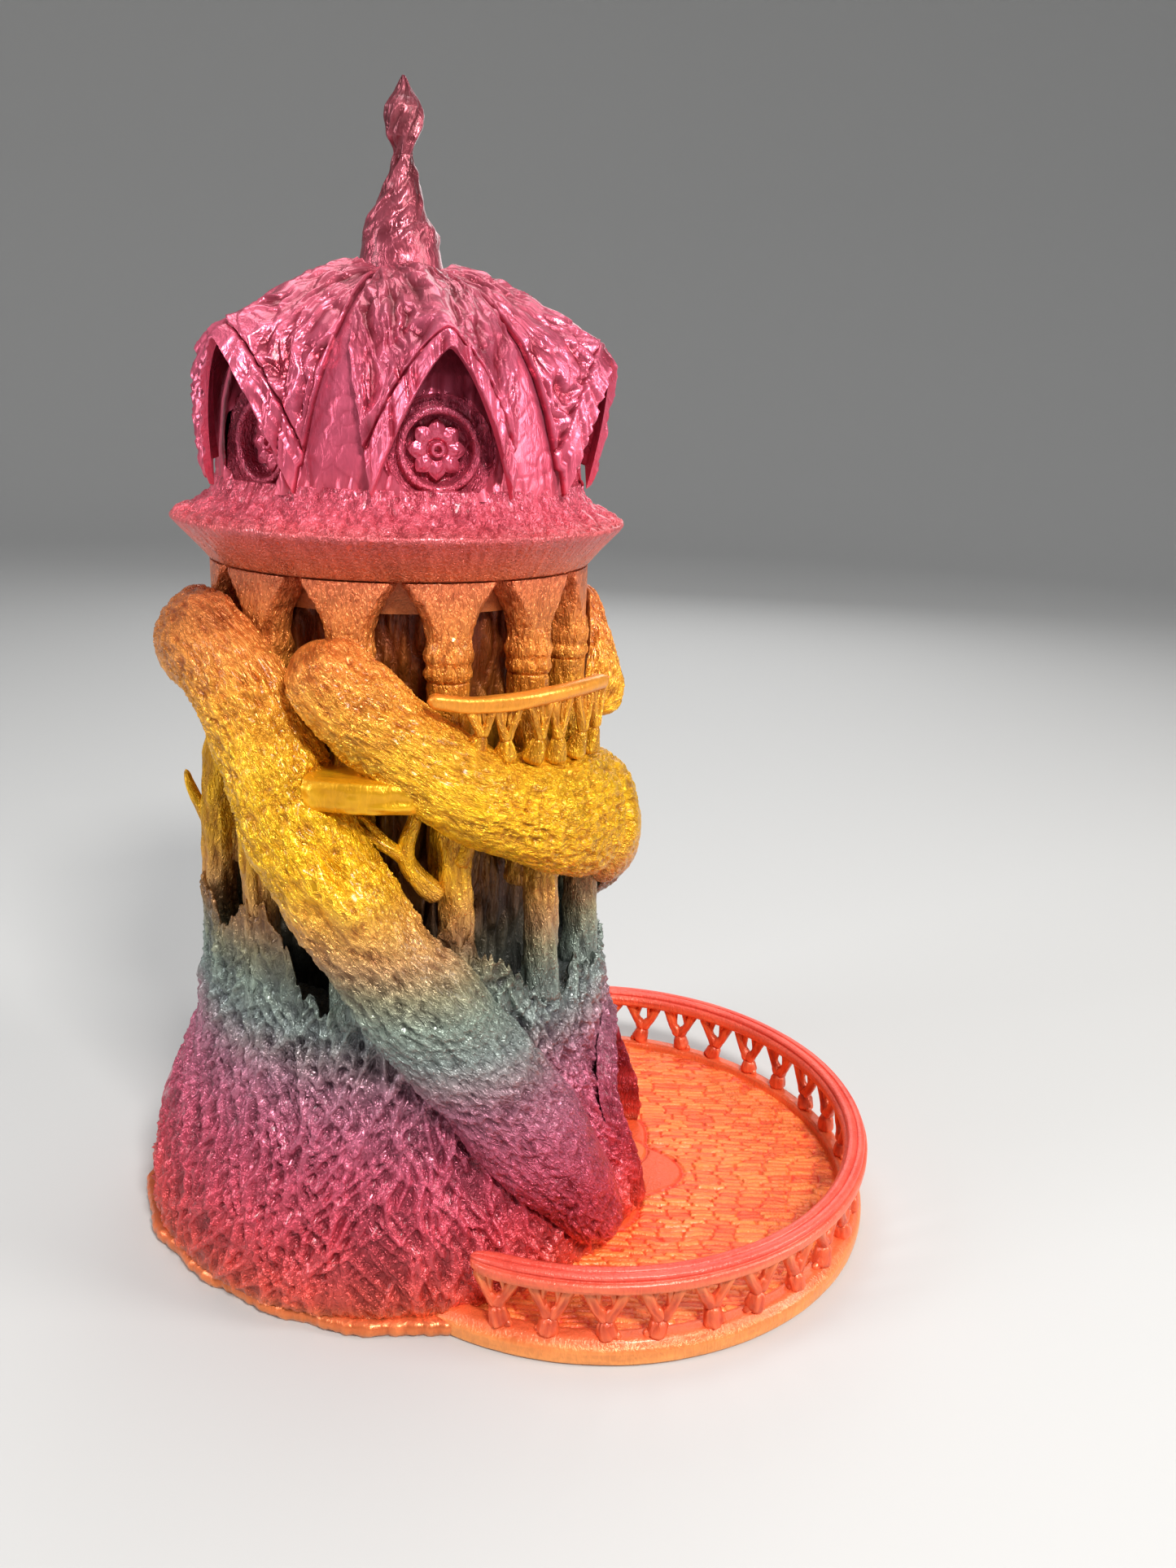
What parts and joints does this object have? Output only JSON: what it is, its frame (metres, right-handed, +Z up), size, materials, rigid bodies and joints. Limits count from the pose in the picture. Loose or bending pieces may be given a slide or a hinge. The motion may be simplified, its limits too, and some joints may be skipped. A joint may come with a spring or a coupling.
{
  "type": "dice tower",
  "caption": "Hollow round dice tower wrapped in tree roots, with columns, a balcony, a lift-off roof with hooded windows and a spire, and a round railed tray where the dice roll out.",
  "frame": {"origin": "centre of the tower's round base, on the table", "axes": "+Z up along the tower's axis, +X from the tower towards the tray"},
  "size_m": [0.1912, 0.144, 0.27],
  "materials": {
    "amber_base": "glossy silk plastic, colour changing with height",
    "orange_tray": "glossy silk plastic, colour changing with height",
    "coral_rail": "glossy silk plastic, colour changing with height",
    "magenta_foot": "glossy silk plastic, colour changing with height",
    "grey_bark": "glossy silk plastic, colour changing with height",
    "gold_roots": "glossy silk plastic, colour changing with height",
    "inner_bark": "glossy silk plastic, colour changing with height",
    "orange_columns": "glossy silk plastic, colour changing with height",
    "gold_balcony": "glossy silk plastic, colour changing with height",
    "wine_spire": "glossy silk plastic, colour changing with height",
    "coral_brim": "glossy silk plastic, colour changing with height",
    "magenta_roof": "glossy silk plastic, colour changing with height"
  },
  "bodies": {
    "tower": {"base_plinth": "amber_base", "tray_plate": "amber_base", "tray_floor": "orange_tray", "tray_medallion": "orange_tray", "tray_posts": "orange_tray", "tray_rail": "coral_rail", "root_foot": "magenta_foot", "bark_edge": "grey_bark", "door_frame": "magenta_foot", "exit_ramp": "orange_tray", "drop_tube": "inner_bark", "baffle_upper": "inner_bark", "baffle_middle": "inner_bark", "baffle_lower": "inner_bark", "seat_ring": "orange_columns", "column_1": "orange_columns", "column_2": "orange_columns", "column_3": "orange_columns", "column_4": "orange_columns", "column_5": "orange_columns", "column_6": "orange_columns", "column_7": "orange_columns", "column_8": "orange_columns", "column_9": "orange_columns", "column_10": "orange_columns", "column_11": "orange_columns", "column_12": "orange_columns", "root_lower": "gold_roots", "root_upper": "gold_roots", "root_side": "gold_roots", "branch_arms": "gold_balcony", "balcony_floor": "gold_balcony", "balcony_posts": "gold_balcony", "balcony_rail": "gold_balcony"},
    "roof": {"roof_brim": "coral_brim", "roof_deck": "coral_brim", "roof_spigot": "coral_brim", "roof_drum": "magenta_roof", "roof_cone": "magenta_roof", "spire": "wine_spire", "finial": "wine_spire", "dormer_hood_1": "magenta_roof", "dormer_hood_2": "magenta_roof", "dormer_hood_3": "magenta_roof", "dormer_hood_4": "magenta_roof", "dormer_hood_5": "magenta_roof", "dormer_hood_6": "magenta_roof", "window_ring_1": "magenta_roof", "window_ring_2": "magenta_roof", "window_ring_3": "magenta_roof", "window_ring_4": "magenta_roof", "window_ring_5": "magenta_roof", "window_ring_6": "magenta_roof", "rosette_1": "magenta_roof", "rosette_2": "magenta_roof", "rosette_3": "magenta_roof", "rosette_4": "magenta_roof", "rosette_5": "magenta_roof", "rosette_6": "magenta_roof"}
  },
  "joints": [
    {"name": "roof_lift", "type": "slide", "parent": "tower", "child": "roof", "axis": [0, 0, 1], "range_m": [0, 0.08]}
  ]
}
